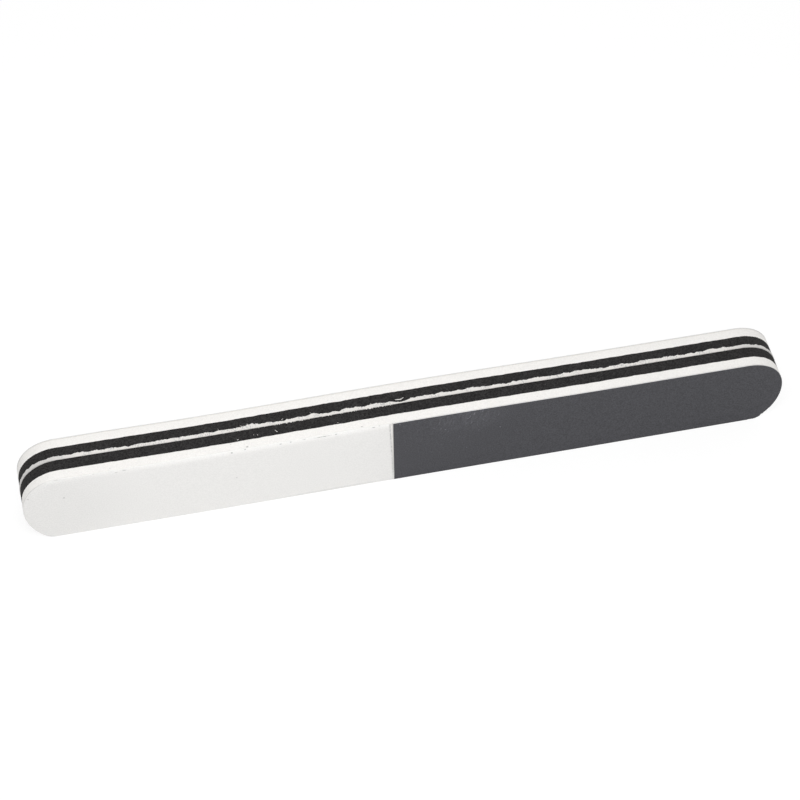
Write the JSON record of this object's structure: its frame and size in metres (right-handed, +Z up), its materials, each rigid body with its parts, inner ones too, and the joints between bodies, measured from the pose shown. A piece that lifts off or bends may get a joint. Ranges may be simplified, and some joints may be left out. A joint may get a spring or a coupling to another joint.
{
  "type": "three-way nail buffer",
  "caption": "Straight nail buffer stick: a stiff strip between black and white foam pads, with a dark and a white abrasive face in front and a shine face behind.",
  "frame": {"origin": "middle of the long edge that the stick stands on", "axes": "+X along the stick towards its dark half, +Y through its thickness from the two-tone front face to the shine face, +Z up across its width"},
  "size_m": [0.178, 0.012, 0.02],
  "materials": {
    "board_plastic": "warm white polystyrene strip, die-cut, slightly torn along its edge",
    "glue_film": "thin clear acrylic glue film",
    "black_foam": "closed-cell EVA foam, matt, fine pores",
    "white_foam": "closed-cell EVA foam, matt, very fine pores",
    "dark_abrasive": "fine grit on film, matt",
    "white_abrasive": "very fine grit on film, matt",
    "shine_abrasive": "smooth polishing film, faint sheen"
  },
  "bodies": {
    "root": {"core_board": "board_plastic", "front_core_glue": "glue_film", "back_core_glue": "glue_film", "front_black_foam": "black_foam", "back_black_foam": "black_foam", "front_foam_glue": "glue_film", "back_foam_glue": "glue_film", "front_white_foam": "white_foam", "back_white_foam": "white_foam", "dark_sheet_glue": "glue_film", "white_sheet_glue": "glue_film", "shine_sheet_glue": "glue_film", "dark_sheet": "dark_abrasive", "white_sheet": "white_abrasive", "shine_sheet": "shine_abrasive"}
  },
  "joints": []
}
